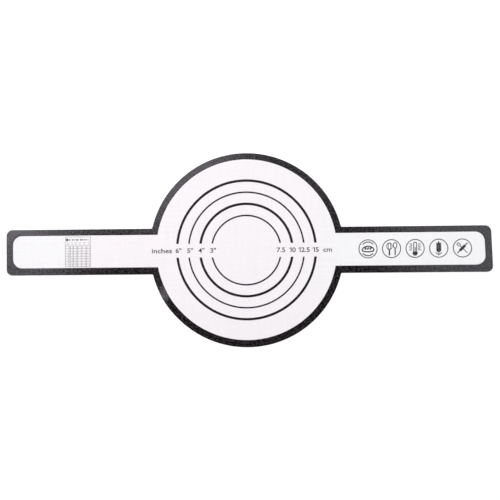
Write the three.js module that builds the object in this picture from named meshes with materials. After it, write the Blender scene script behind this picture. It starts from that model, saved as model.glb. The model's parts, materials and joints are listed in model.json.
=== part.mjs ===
// Silicone bread sling: a round baking pad with two long handles, die-cut as one flexible sheet.
// The sheet is a laminate of woven glass cloth between two coats of white silicone. Black silicone
// ink is printed on the baking face: a border along the whole outline, and four measuring rings on
// the pad, each broken at both sides to leave room for its size marks.
// Each handle bends on two fold lines: at its root, where it is lifted, and at its grip.
// Millimetres, +Z up, the origin under the middle of the pad, the handles along X.
import * as THREE from "three";

// Outline of the blank
const OVERALL_LENGTH = 525;
const PAD_DIAMETER = 210;
const HANDLE_WIDTH = 49.8;
const HANDLE_CORNER_RADIUS = 6.5;
const ROOT_FILLET_RADIUS = 1.5;

// Layers of the laminate, from the underside up
const BACK_COAT_THICKNESS = 0.25;
const GLASS_CLOTH_THICKNESS = 0.25;
const FACE_COAT_THICKNESS = 0.25;
const INK_THICKNESS = 0.1;

// Printed border, and how far the whole print lies off the middle of the cut blank
const BORDER_WIDTH = 7.3;
const BORDER_CORNER_RADIUS = 10;
const PRINT_SHIFT_X = -0.1;
const PRINT_SHIFT_Y = 0.6;

// Measuring rings, by the diameter at the middle of each line. Thin and thick lines take turns.
const SMALLEST_RING_DIAMETER = 75;
const RING_DIAMETER_STEP = 25;
const THIN_RING_LINE = 1.7;
const THICK_RING_LINE = 2.7;
const RING_LABEL_GAP = 15;
const RING_NAMES = ["ring_7_5cm", "ring_10cm", "ring_12_5cm", "ring_15cm"];

// Fold lines: the root fold lies just outside the fillets, and a grip runs from its fold to the tip
const ROOT_FOLD_MARGIN = 0.824;
const GRIP_LENGTH = 94.5;
const FOLD_GAP = 0.3;

// How far a round edge may stand off the chords that it is made of
const ARC_SAGITTA = 0.05;

const quarterTurn = Math.PI / 2;
const halfTurn = Math.PI;
const padRadius = PAD_DIAMETER / 2;
const halfWidth = HANDLE_WIDTH / 2;

// Heights at which one layer ends and the next begins
const backTop = BACK_COAT_THICKNESS;
const clothTop = backTop + GLASS_CLOTH_THICKNESS;
const faceTop = clothTop + FACE_COAT_THICKNESS;
const inkTop = faceTop + INK_THICKNESS;

// A fillet in the corner of pad and handle touches the pad's circle and the handle's straight edge
const filletY = halfWidth + ROOT_FILLET_RADIUS;
const filletX = Math.sqrt((padRadius + ROOT_FILLET_RADIUS) ** 2 - filletY ** 2);
const filletAngle = Math.atan2(filletY, filletX);

const rootFoldX = filletX + ROOT_FOLD_MARGIN;
const gripFoldX = OVERALL_LENGTH / 2 - GRIP_LENGTH;
const strapLength = gripFoldX - rootFoldX;

// The border's inner edge is the blank's outline drawn one border width further in
const innerRadius = padRadius - BORDER_WIDTH;
const innerHalfWidth = halfWidth - BORDER_WIDTH;
const innerCornerAngle = Math.asin(innerHalfWidth / innerRadius);

const rings = RING_NAMES.map((name, i) => ({
  name,
  diameter: SMALLEST_RING_DIAMETER + i * RING_DIAMETER_STEP,
  line: i % 2 === 0 ? THIN_RING_LINE : THICK_RING_LINE,
}));

const silicone = new THREE.MeshStandardMaterial({ color: 0xf8f5f9, roughness: 0.5, metalness: 0 });
const glassCloth = new THREE.MeshStandardMaterial({ color: 0xe9e6dd, roughness: 0.8, metalness: 0 });
const borderInk = new THREE.MeshStandardMaterial({ color: 0x2b292c, roughness: 0.45, metalness: 0 });
const ringInk = new THREE.MeshStandardMaterial({ color: 0x141214, roughness: 0.5, metalness: 0 });

const point = (x, y) => new THREE.Vector2(x, y);

// Points along an arc, in an even number of steps, so that the middle of the arc is a point.
function arc(centreX, centreY, radius, from, to) {
  const widestStep = 2 * Math.acos(1 - ARC_SAGITTA / radius);
  const steps = 2 * Math.ceil(Math.abs(to - from) / widestStep / 2);
  return Array.from({ length: steps + 1 }, (_, i) => {
    const angle = from + ((to - from) * i) / steps;
    return point(centreX + radius * Math.cos(angle), centreY + radius * Math.sin(angle));
  });
}

// A flat piece: a closed outline of even thickness, with its underside at a height.
function plate(name, outline, underside, thickness, material) {
  const geometry = new THREE.ExtrudeGeometry(new THREE.Shape(outline), {
    depth: thickness,
    bevelEnabled: false,
  });
  const mesh = new THREE.Mesh(geometry, material);
  mesh.name = name;
  mesh.position.z = underside;
  return mesh;
}

// The three bonded layers of one stretch of the sheet, all cut to the same outline.
function laminate(name, outline) {
  return [
    plate(`${name}_back_coat`, outline, 0, BACK_COAT_THICKNESS, silicone),
    plate(`${name}_glass_cloth`, outline, backTop, GLASS_CLOTH_THICKNESS, glassCloth),
    plate(`${name}_face_coat`, outline, clothTop, FACE_COAT_THICKNESS, silicone),
  ];
}

// A printed shape: ink lies on the face coat.
function print(name, outline, material) {
  return plate(name, outline, faceTop, INK_THICKNESS, material);
}

// The cut edge along one side of the pad, from the right root fold to the left one.
// Side 1 is the rear, at +Y, and side -1 is the front.
function padEdge(side) {
  const endX = rootFoldX - FOLD_GAP / 2;
  const rear = [
    point(endX, halfWidth),
    ...arc(filletX, filletY, ROOT_FILLET_RADIUS, -quarterTurn, filletAngle - halfTurn),
    ...arc(0, 0, padRadius, filletAngle, halfTurn - filletAngle).slice(1, -1),
    ...arc(-filletX, filletY, ROOT_FILLET_RADIUS, -filletAngle, -quarterTurn),
    point(-endX, halfWidth),
  ];
  return rear.map((p) => point(p.x, side * p.y));
}

// The border's inner edge along one side of the pad, with a mitred corner at each handle.
function padBorderInnerEdge(side) {
  const endX = rootFoldX - FOLD_GAP / 2;
  const centreY = side * PRINT_SHIFT_Y;
  const rear = [
    point(endX, centreY + innerHalfWidth),
    ...arc(PRINT_SHIFT_X, centreY, innerRadius, innerCornerAngle, halfTurn - innerCornerAngle),
    point(-endX, centreY + innerHalfWidth),
  ];
  return rear.map((p) => point(p.x, side * p.y));
}

// One half of a measuring ring. Its ends are cut straight, along the gap for the size mark.
function ringHalf(diameter, line, side) {
  const outer = diameter / 2 + line / 2;
  const inner = diameter / 2 - line / 2;
  const outerEnd = Math.asin(RING_LABEL_GAP / 2 / outer);
  const innerEnd = Math.asin(RING_LABEL_GAP / 2 / inner);
  const rear = [
    ...arc(0, 0, outer, outerEnd, halfTurn - outerEnd),
    ...arc(0, 0, inner, halfTurn - innerEnd, innerEnd),
  ];
  return rear.map((p) => point(PRINT_SHIFT_X + p.x, PRINT_SHIFT_Y + side * p.y));
}

// The open edge of a handle's end, pointing along +X: out along one side, round the two corners of
// the tip, and back along the other side.
function tongue(startX, tipX, middleY, half, radius) {
  return [
    point(startX, middleY - half),
    ...arc(tipX - radius, middleY - half + radius, radius, -quarterTurn, 0),
    ...arc(tipX - radius, middleY + half - radius, radius, 0, quarterTurn),
    point(startX, middleY + half),
  ];
}

function strip(startX, endX, lowY, highY) {
  return [point(startX, lowY), point(endX, lowY), point(endX, highY), point(startX, highY)];
}

// A stretch of handle that folds: its group sits on the fold line, at the top of the sheet, so
// turning the group folds the stretch up and its end stays clear of its neighbour's.
function foldingStretch(foldX, foldZ, pieces) {
  const stretch = new THREE.Group();
  stretch.position.set(foldX, 0, foldZ);
  for (const piece of pieces) {
    piece.position.z -= inkTop;
    stretch.add(piece);
  }
  return stretch;
}

// The round pad, with the stubs of both handles as far as their root folds.
function buildPad() {
  const pad = new THREE.Group();
  pad.add(...laminate("pad", [...padEdge(1), ...padEdge(-1).reverse()]));
  for (const [place, side] of [["rear", 1], ["front", -1]]) {
    const band = [...padEdge(side), ...padBorderInnerEdge(side).reverse()];
    pad.add(print(`pad_border_${place}`, band, borderInk));
    for (const { name, diameter, line } of rings) {
      pad.add(print(`${name}_${place}`, ringHalf(diameter, line, side), ringInk));
    }
  }
  return pad;
}

// One handle, drawn pointing along +X and then turned to its own side of the pad. The two sides of
// its border are named for where they lie once it is turned.
function buildHandle(name, turn, [lowSide, highSide]) {
  const printShift = point(PRINT_SHIFT_X, PRINT_SHIFT_Y).rotateAround(point(0, 0), -turn);
  const start = FOLD_GAP / 2;

  const strapEnd = strapLength - FOLD_GAP / 2;
  const borderLow = strip(start, strapEnd, -halfWidth, printShift.y - innerHalfWidth);
  const borderHigh = strip(start, strapEnd, printShift.y + innerHalfWidth, halfWidth);
  const strap = foldingStretch(rootFoldX, inkTop, [
    ...laminate(`${name}_strap`, strip(start, strapEnd, -halfWidth, halfWidth)),
    print(`${name}_strap_border_${lowSide}`, borderLow, borderInk),
    print(`${name}_strap_border_${highSide}`, borderHigh, borderInk),
  ]);

  const innerTip = GRIP_LENGTH - BORDER_WIDTH + printShift.x;
  const gripEdge = tongue(start, GRIP_LENGTH, 0, halfWidth, HANDLE_CORNER_RADIUS);
  const innerEdge = tongue(start, innerTip, printShift.y, innerHalfWidth, BORDER_CORNER_RADIUS);
  const grip = foldingStretch(strapLength, 0, [
    ...laminate(`${name}_grip`, gripEdge),
    print(`${name}_grip_border`, [...gripEdge, ...innerEdge.reverse()], borderInk),
  ]);

  strap.add(grip);
  const handle = new THREE.Group();
  handle.rotation.z = turn;
  handle.add(strap);
  return handle;
}

const sling = new THREE.Group();
sling.add(
  buildPad(),
  buildHandle("right", 0, ["front", "rear"]),
  buildHandle("left", halfTurn, ["rear", "front"]),
);

export default sling;
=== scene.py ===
"""Dresses the silicone bread sling: a coated glass cloth sheet with its printed border, rings and marks.

Lengths are in metres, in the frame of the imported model. The middle of the pad on the table is the
origin, the handles lie along X, the rear is at +Y and the baking face looks up along Z.
"""

import json
import logging
import math
from abc import ABC, abstractmethod
from collections.abc import Callable, Mapping, Sequence
from dataclasses import dataclass, field, replace
from enum import Enum
from functools import partial, reduce

import bmesh
import bpy
import numpy as np
from numpy.typing import NDArray
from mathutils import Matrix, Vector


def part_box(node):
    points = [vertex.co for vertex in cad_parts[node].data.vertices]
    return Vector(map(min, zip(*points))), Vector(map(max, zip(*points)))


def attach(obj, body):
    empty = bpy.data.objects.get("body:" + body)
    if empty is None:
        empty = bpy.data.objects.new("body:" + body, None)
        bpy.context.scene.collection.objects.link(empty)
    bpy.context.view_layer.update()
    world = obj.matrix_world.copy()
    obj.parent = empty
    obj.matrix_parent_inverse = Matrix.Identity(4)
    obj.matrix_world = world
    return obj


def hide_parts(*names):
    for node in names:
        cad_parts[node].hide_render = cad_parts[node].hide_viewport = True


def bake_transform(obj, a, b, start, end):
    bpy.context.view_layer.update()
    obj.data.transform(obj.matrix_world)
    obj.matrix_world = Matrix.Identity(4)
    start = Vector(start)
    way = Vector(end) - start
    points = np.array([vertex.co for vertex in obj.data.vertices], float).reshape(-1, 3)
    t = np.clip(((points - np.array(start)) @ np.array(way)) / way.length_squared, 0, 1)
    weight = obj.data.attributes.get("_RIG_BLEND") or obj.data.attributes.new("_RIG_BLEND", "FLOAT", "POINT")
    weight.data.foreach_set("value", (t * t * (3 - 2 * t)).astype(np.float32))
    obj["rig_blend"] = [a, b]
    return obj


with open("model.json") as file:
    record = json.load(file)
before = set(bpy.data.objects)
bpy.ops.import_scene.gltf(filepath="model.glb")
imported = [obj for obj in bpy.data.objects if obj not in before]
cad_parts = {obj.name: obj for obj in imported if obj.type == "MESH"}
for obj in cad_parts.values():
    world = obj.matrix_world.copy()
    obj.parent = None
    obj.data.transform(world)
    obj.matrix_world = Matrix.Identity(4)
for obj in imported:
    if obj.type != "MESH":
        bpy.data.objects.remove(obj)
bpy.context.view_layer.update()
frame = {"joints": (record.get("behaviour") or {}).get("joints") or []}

LOG = logging.getLogger("bread_sling")
MM = 0.001
QUARTER_TURN = math.pi / 2
HALF_TURN = math.pi
FULL_TURN = 2 * math.pi
FLAT_MAP = "flat_lay"
SHARP_ANGLE = math.radians(40)

Array = NDArray[np.float64]
Place = tuple[float, float]
Point = tuple[float, float, float]
Colour = tuple[float, float, float]
Material = bpy.types.Material
Mesh = bpy.types.Mesh
Node = bpy.types.Node
NodeTree = bpy.types.NodeTree
Piece = bpy.types.Object
Socket = bpy.types.NodeSocket
Sockets = Mapping[str, Socket]


class Side(Enum):
    """The way a handle points along X."""

    LEFT = -1
    RIGHT = 1


class Edge(Enum):
    """The long edge of the sling that something follows, along Y."""

    FRONT = -1
    REAR = 1


class Layer(Enum):
    """The bonded layers of the sheet, from the table up, as they end the names of the nodes."""

    BACK_COAT = "back_coat"
    GLASS_CLOTH = "glass_cloth"
    FACE_COAT = "face_coat"


class Slot(Enum):
    """The record's material slots."""

    SILICONE = "silicone"
    GLASS_CLOTH = "glass_cloth"
    BORDER_INK = "border_ink"
    RING_INK = "ring_ink"


def smooth_step(low: float, high: float, value: Array) -> Array:
    """The S-shaped ramp 3t^2 - 2t^3, where t runs from 0 at low to 1 at high."""
    t = np.clip((value - low) / (high - low), 0.0, 1.0)
    return t * t * (3.0 - 2.0 * t)


def rows(x: Array | float, y: Array | float) -> Array:
    """Joins places along and across into rows of points, where either may be one number for all."""
    return np.stack(np.broadcast_arrays(x, y), axis=1)


def circle_points(angle: Array) -> Array:
    """Points on a circle of radius 1, with a row for each angle."""
    return rows(np.cos(angle), np.sin(angle))


def joint_place(name: str) -> Array:
    """Where a joint of the record has its axis."""
    found = [joint for joint in frame["joints"] if joint["name"] == name]
    return np.array(found[0]["pos_m"], float)


@dataclass(frozen=True)
class Wave:
    """One slow wave of a sheet that doesn't lie quite flat."""

    height: float
    length: float
    heading: float
    phase: float

    def at(self, x: Array, y: Array) -> Array:
        """The wave's height at each place, never below zero: half a height times one plus a sine."""
        along = x * math.cos(self.heading) + y * math.sin(self.heading)
        return 0.5 * self.height * (1.0 + np.sin(FULL_TURN * along / self.length + self.phase))


@dataclass(frozen=True)
class Pucker:
    """A small place where the sheet stands off the table."""

    x: float
    y: float
    height: float
    reach: float

    def at(self, x: Array, y: Array) -> Array:
        """How far each place is lifted: by a bell curve of the distance from the middle, over the reach."""
        away = (x - self.x) ** 2 + (y - self.y) ** 2
        return self.height * np.exp(-away / (2 * self.reach**2))


@dataclass(frozen=True)
class Blank:
    """The cut sheet as it lies on the table: its outline, layers and folds, and where it isn't flat."""

    pad_radius: float
    half_width: float
    tip: float
    root_fold: float
    grip_fold: float
    layer_heights: dict[Layer, tuple[float, float]]
    ink_top: float
    fillet_radius: float = 1.5 * MM
    corner_radius: float = 6.5 * MM
    root_bend: float = 6.0 * MM
    grip_bend: float = 4.0 * MM
    tip_lift: float = 0.35 * MM
    tip_lift_length: float = 70.0 * MM
    waves: tuple[Wave, ...] = (
        Wave(height=0.16 * MM, length=118.0 * MM, heading=0.35, phase=0.4),
        Wave(height=0.12 * MM, length=74.0 * MM, heading=2.1, phase=2.2),
        Wave(height=0.07 * MM, length=47.0 * MM, heading=1.25, phase=4.1),
    )
    rim_pucker: Pucker = Pucker(x=-89.5 * MM, y=-56.8 * MM, height=1.7 * MM, reach=9.0 * MM)

    @classmethod
    def from_frame(cls) -> "Blank":
        """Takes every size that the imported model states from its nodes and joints.

        Returns:
            The blank.
        """
        heights = {}
        for layer in Layer:
            low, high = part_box(f"pad_{layer.value}")
            heights[layer] = (low.z, high.z)
        return cls(
            pad_radius=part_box("pad_face_coat")[1].y,
            half_width=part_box("right_strap_face_coat")[1].y,
            tip=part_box("right_grip_face_coat")[1].x,
            root_fold=joint_place("right_handle_lift")[0],
            grip_fold=joint_place("right_grip_fold")[0],
            layer_heights=heights,
            ink_top=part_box("pad_border_rear")[1].z,
        )

    @property
    def face_top(self) -> float:
        """The height of the baking face above the underside."""
        return self.layer_heights[Layer.FACE_COAT][1]

    @property
    def ink_thickness(self) -> float:
        """How thick the border and the rings are printed."""
        return self.ink_top - self.face_top

    @property
    def root_seam(self) -> float:
        """Where the pad ends and the strap begins: half a bend before the root fold."""
        return self.root_fold - self.root_bend / 2

    @property
    def grip_seam(self) -> float:
        """Where the strap ends and the grip begins: half a bend before the grip fold."""
        return self.grip_fold - self.grip_bend / 2

    @property
    def seam_angle(self) -> float:
        """The angle round the pad at which its circle meets the root seam."""
        return math.acos(self.root_seam / self.pad_radius)

    @property
    def fillet_centre(self) -> Place:
        """The middle of the fillet in the corner of pad and handle, which touches both edges."""
        y = self.half_width + self.fillet_radius
        return math.sqrt((self.pad_radius + self.fillet_radius) ** 2 - y**2), y

    @property
    def fillet_angle(self) -> float:
        """The angle round the pad at which the fillet leaves the pad's circle."""
        x, y = self.fillet_centre
        return math.atan2(y, x)

    def lie(self, x: Array, y: Array) -> Array:
        """How far the underside stands off the table.

        It is the sum of the slow waves, of the pucker at the rim, and of a rise towards each tip that
        grows with the square of the distance from where the rise begins.

        Args:
            x: Places along the sling.
            y: Places across it.

        Returns:
            The height of the underside at each place.
        """
        start = self.tip - self.tip_lift_length
        rise = np.clip((np.abs(x) - start) / self.tip_lift_length, 0.0, 1.0)
        lifted = self.rim_pucker.at(x, y) + self.tip_lift * rise**2
        return lifted + sum(wave.at(x, y) for wave in self.waves)

    def half_width_at(self, x: Array) -> Array:
        """Half the sheet's width at each place along it.

        On the pad it is the height of the circle. A small arc leads from the circle to the straight
        edge of the handle, and a quarter circle rounds off each corner of the tip.

        Args:
            x: Places along the sling.

        Returns:
            The distance from the middle line to the cut edge.
        """
        away = np.abs(x)
        fillet_x, fillet_y = self.fillet_centre
        touch_x = self.pad_radius * math.cos(self.fillet_angle)
        circle = np.sqrt(np.maximum(self.pad_radius**2 - away**2, 0.0))
        fillet = fillet_y - np.sqrt(np.maximum(self.fillet_radius**2 - (away - fillet_x) ** 2, 0.0))
        past = np.maximum(away - (self.tip - self.corner_radius), 0.0)
        corner = np.sqrt(np.maximum(self.corner_radius**2 - past**2, 0.0))
        handle = self.half_width - self.corner_radius + corner
        return np.select([away < touch_x, away < fillet_x], [circle, fillet], handle)

    def from_edge(self, x: Array, y: Array) -> Array:
        """How far places lie in from the cut edge, measured across the sling or from its tip."""
        return np.minimum(self.half_width_at(x) - np.abs(y), self.tip - np.abs(x))


@dataclass(frozen=True)
class Print:
    """Where the border and the rings lie on the blank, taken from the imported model."""

    shift_x: float
    shift_y: float
    inner_half_width: float
    border_width: float
    inner_radius: float
    corner_radius: float = 10.0 * MM

    @classmethod
    def from_frame(cls, blank: Blank) -> "Print":
        """Reads the border's inner edges from the strap's two bands, and the middle from a ring.

        Args:
            blank: The cut sheet.

        Returns:
            Where the print lies on it.
        """
        rear_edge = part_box("right_strap_border_rear")[0].y
        front_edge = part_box("right_strap_border_front")[1].y
        ring_low, ring_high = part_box("ring_15cm_rear")
        inner_half_width = (rear_edge - front_edge) / 2
        border_width = blank.half_width - inner_half_width
        return cls(
            shift_x=(ring_low.x + ring_high.x) / 2,
            shift_y=(rear_edge + front_edge) / 2,
            inner_half_width=inner_half_width,
            border_width=border_width,
            inner_radius=blank.pad_radius - border_width,
        )

    @property
    def corner_angle(self) -> float:
        """The angle round the pad of the mitred corner where the inner edges of pad and handle meet."""
        return math.asin(self.inner_half_width / self.inner_radius)


@dataclass(frozen=True)
class Skew:
    """How far the cloth of one handle is drawn out of square towards its tip."""

    side: Side
    start: float
    end: float
    slope: float

    def shift(self, x: Array, y: Array) -> Array:
        """How far places move along X: outwards by the slope times their way to the front, ramped up."""
        outwards = self.side.value
        return -outwards * self.slope * y * smooth_step(self.start, self.end, outwards * x)


END_SKEWS = (
    Skew(Side.LEFT, start=117.0 * MM, end=190.0 * MM, slope=0.025),
    Skew(Side.RIGHT, start=185.0 * MM, end=262.5 * MM, slope=0.05),
)


@dataclass(frozen=True)
class Bend:
    """The short stretch across a fold line over which the sheet turns from one body to the next."""

    inner_body: str
    outer_body: str
    start: float
    end: float

    def apply(self, piece: Piece) -> None:
        """Lets a piece turn smoothly between the two bodies."""
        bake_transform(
            piece, self.inner_body, self.outer_body, start=(self.start, 0, 0), end=(self.end, 0, 0)
        )


@dataclass
class Slab:
    """A thin closed solid over a grid of places: a top, an underside and the walls round them.

    The four arrays have one shape. The first parameter runs along the rows and may close on itself.
    """

    x: Array
    y: Array
    low: Array
    high: Array
    wraps: bool = False

    def points(self) -> Array:
        """All points: the grid of the underside, then the grid of the top."""
        grids = [np.stack([self.x, self.y, z], axis=-1).reshape(-1, 3) for z in (self.low, self.high)]
        return np.concatenate(grids)

    def faces(self) -> NDArray[np.int64]:
        """Four-sided faces, worked out from the numbers of the grid points.

        Returns:
            The points of each face, in an order that makes it point outwards.
        """
        under = np.arange(self.x.size).reshape(self.x.shape)
        if self.wraps:
            under = np.concatenate([under, under[:1]])
        over = under + self.x.size
        top = [over[:-1, :-1], over[1:, :-1], over[1:, 1:], over[:-1, 1:]]
        bottom = [under[:-1, :-1], under[:-1, 1:], under[1:, 1:], under[1:, :-1]]
        first = [under[:-1, 0], under[1:, 0], over[1:, 0], over[:-1, 0]]
        last = [over[:-1, -1], over[1:, -1], under[1:, -1], under[:-1, -1]]
        sides = [top, bottom, first, last]
        if not self.wraps:
            sides.append([under[0, 1:], under[0, :-1], over[0, :-1], over[0, 1:]])
            sides.append([under[-1, :-1], under[-1, 1:], over[-1, 1:], over[-1, :-1]])
        quads = np.concatenate([np.stack([c.ravel() for c in side], axis=1) for side in sides])
        return quads if self.turns_left() else quads[:, ::-1]

    def turns_left(self) -> bool:
        """Whether the grid's two directions follow each other to the left, seen from above.

        Returns:
            Whether the cross products of the steps along and across add up to more than zero.
        """
        along_x, along_y = np.diff(self.x, axis=0)[:, :-1], np.diff(self.y, axis=0)[:, :-1]
        across_x, across_y = np.diff(self.x, axis=1)[:-1], np.diff(self.y, axis=1)[:-1]
        return float(np.sum(along_x * across_y - along_y * across_x)) > 0


@dataclass(frozen=True)
class InkProfile:
    """How a printed film rises across its width, from the first edge to the last."""

    across: tuple[float, ...]
    rise: tuple[float, ...]

    def film(self, blank: Blank, x: Array, y: Array, thickness: float, wraps: bool = False) -> Slab:
        """A film on the baking face, over places with one column for each share of its width."""
        low = blank.lie(x, y) + blank.face_top
        return Slab(x, y, low, low + thickness * np.array(self.rise), wraps)


CUT_AND_PRINTED = InkProfile(
    across=(0.0, 0.008, 0.02, 0.06, 0.25, 0.5, 0.75, 0.9, 0.95, 0.98, 1.0),
    rise=(0.75, 0.95, 1.0, 1.0, 1.0, 1.0, 1.0, 1.0, 0.94, 0.65, 0.15),
)
PRINTED_LINE = InkProfile(
    across=(0.0, 0.08, 0.22, 0.5, 0.78, 0.92, 1.0),
    rise=(0.15, 0.7, 1.0, 1.0, 1.0, 0.7, 0.15),
)
FINE_LINE = InkProfile(across=(0.0, 0.25, 0.75, 1.0), rise=(0.4, 1.0, 1.0, 0.4))


class Wiring:
    """Adds nodes to a tree and joins them."""

    # The numbers of the Mix node's sockets for the share, the two colours and the mixed colour
    MIX_INPUTS = (0, 6, 7)
    MIX_RESULT = 2

    def __init__(self, tree: NodeTree) -> None:
        """Keeps the tree that the nodes go into."""
        self.tree = tree

    def give(self, node: Node, values: Mapping[str | int, object]) -> None:
        """Links a node's inputs to sockets, or gives them plain values.

        Args:
            node: The node.
            values: A socket or a plain value for each input, by its name or number.
        """
        for key, value in values.items():
            if isinstance(value, Socket):
                self.tree.links.new(value, node.inputs[key])
            else:
                node.inputs[key].default_value = value

    def node(self, kind: str, given: Mapping[str | int, object] | None = None, **settings: object) -> Node:
        """Adds a node.

        Args:
            kind: Blender's name of the kind of node.
            given: A socket or a plain value for some of its inputs, by their names or numbers.
            settings: The node's own settings.

        Returns:
            The node.
        """
        made = self.tree.nodes.new(kind)
        for name, value in settings.items():
            setattr(made, name, value)
        self.give(made, given or {})
        return made

    def math(self, operation: str, *values: object, clamp: bool = False) -> Socket:
        """Adds a Math node, whose result may be kept between 0 and 1."""
        given = dict(enumerate(values))
        return self.node("ShaderNodeMath", given, operation=operation, use_clamp=clamp).outputs[0]

    def vector(self, operation: str, *values: object) -> Socket:
        """Adds a Vector Math node, whose result is a vector, or a plain value for a length."""
        made = self.node("ShaderNodeVectorMath", dict(enumerate(values)), operation=operation)
        return made.outputs["Value" if operation == "LENGTH" else "Vector"]

    def split(self, vector: Socket) -> Sockets:
        """The parts of a vector, by the names of their axes."""
        return self.node("ShaderNodeSeparateXYZ", {0: vector}).outputs

    def noise(self, place: Socket, scale: object, detail: float = 2.0) -> Sockets:
        """Adds flat noise, with its scale and its detail, as a plain value and as a colour."""
        given = {"Vector": place, "Scale": scale, "Detail": detail}
        return self.node("ShaderNodeTexNoise", given, noise_dimensions="2D").outputs

    def ramp(self, value: object, low: float, high: float) -> Socket:
        """A smooth ramp from 0 at low to 1 at high."""
        given = dict(enumerate((value, low, high, 0.0, 1.0)))
        return self.node("ShaderNodeMapRange", given, interpolation_type="SMOOTHSTEP").outputs["Result"]

    def between(self, value: object, low: float, high: float) -> Socket:
        """A value from 0 to 1 spread over the range from low to high."""
        given = dict(enumerate((value, 0.0, 1.0, low, high)))
        return self.node("ShaderNodeMapRange", given).outputs["Result"]

    def mix(self, share: object, first: object, second: object) -> Socket:
        """Mixes two colours.

        Args:
            share: How much of the second there is, from 0 to 1.
            first: A colour, plain or as a socket.
            second: The other colour.

        Returns:
            The mixed colour's socket.
        """
        pair = [(*colour, 1.0) if isinstance(colour, tuple) else colour for colour in (first, second)]
        given = dict(zip(self.MIX_INPUTS, (share, *pair)))
        return self.node("ShaderNodeMix", given, data_type="RGBA").outputs[self.MIX_RESULT]


def node_group(
    name: str, inputs: Mapping[str, str], outputs: Sequence[str]
) -> tuple[NodeTree, Wiring, Sockets, Node]:
    """Starts a shader node group.

    Args:
        name: The group's name.
        inputs: The socket type of each input, by its name.
        outputs: The names of the outputs, all plain values.

    Returns:
        The group, its wiring, its inputs by name and its output node.
    """
    group = bpy.data.node_groups.new(name, "ShaderNodeTree")
    for label, kind in inputs.items():
        group.interface.new_socket(label, in_out="INPUT", socket_type=kind)
    for label in outputs:
        group.interface.new_socket(label, in_out="OUTPUT", socket_type="NodeSocketFloat")
    wiring = Wiring(group)
    source = wiring.node("NodeGroupInput")
    target = wiring.node("NodeGroupOutput")
    return group, wiring, source.outputs, target


@dataclass
class PlainWeave:
    """The glass cloth's weave as a node group: knobs at the crossings, uneven threads and thick spots."""

    name: str = "plain_weave"
    wander_scale: float = 55.0
    thread_length: float = 34.0 * MM
    spot_yarns: float = 1.8
    spot_detail: float = 1.0
    knob_share: float = 0.6
    yarn_share: float = 0.2
    group: NodeTree | None = None

    def build(self) -> NodeTree:
        """Builds the group once.

        Height is made from the product of two sines, one along each set of yarns: its size is a knob at
        each crossing, and its sign says which yarn lies on top. Over is that sign as a soft mask.
        Thread is noise drawn out along each set of yarns. Mottle is noise with spots of about two yarns.

        Returns:
            The group.
        """
        if self.group is not None:
            return self.group
        inputs = {"Place": "NodeSocketVector", "Pitch": "NodeSocketFloat", "Wander": "NodeSocketFloat"}
        outputs = ("Height", "Over", "Thread", "Mottle")
        self.group, wiring, given, target = node_group(self.name, inputs, outputs)
        place, pitch = given["Place"], given["Pitch"]
        noise_middle = (0.5, 0.5, 0.5)
        drift = wiring.vector("SUBTRACT", wiring.noise(place, self.wander_scale)["Color"], noise_middle)
        moved = wiring.vector("ADD", place, wiring.vector("MULTIPLY", drift, given["Wander"]))
        parts = wiring.split(moved)
        half_turns = wiring.math("DIVIDE", HALF_TURN, pitch)
        warp, weft = (
            wiring.math("SINE", wiring.math("MULTIPLY", parts[axis], half_turns)) for axis in ("X", "Y")
        )
        crossing = wiring.math("MULTIPLY", warp, weft)
        knob = wiring.math("MULTIPLY", wiring.math("ABSOLUTE", crossing), self.knob_share)
        yarn = wiring.math("MULTIPLY_ADD", crossing, self.yarn_share, self.yarn_share)
        per_yarn = wiring.math("DIVIDE", 1.0, pitch)
        threads = [self.thread(wiring, parts, per_yarn, along) for along in ("X", "Y")]
        spot_scale = wiring.math("DIVIDE", per_yarn, self.spot_yarns)
        results = {
            "Height": wiring.math("ADD", knob, yarn),
            "Over": wiring.math("MULTIPLY_ADD", crossing, 0.5, 0.5),
            "Thread": wiring.math("MULTIPLY", wiring.math("ADD", *threads), 0.5),
            "Mottle": wiring.noise(place, spot_scale, self.spot_detail)["Fac"],
        }
        wiring.give(target, results)
        return self.group

    def thread(self, wiring: Wiring, parts: Sockets, per_yarn: Socket, along: str) -> Socket:
        """Noise that changes from yarn to yarn and slowly along each.

        Args:
            wiring: The group's wiring.
            parts: The place on the flat sheet, by the names of the axes.
            per_yarn: How many yarns there are in a metre.
            along: The axis that the yarns follow.

        Returns:
            The noise, from 0 to 1.
        """
        scales = {axis: 1.0 / self.thread_length if axis == along else per_yarn for axis in ("X", "Y")}
        drawn = {axis: wiring.math("MULTIPLY", parts[axis], scale) for axis, scale in scales.items()}
        return wiring.noise(wiring.node("ShaderNodeCombineXYZ", drawn).outputs[0], 1.0)["Fac"]


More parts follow.
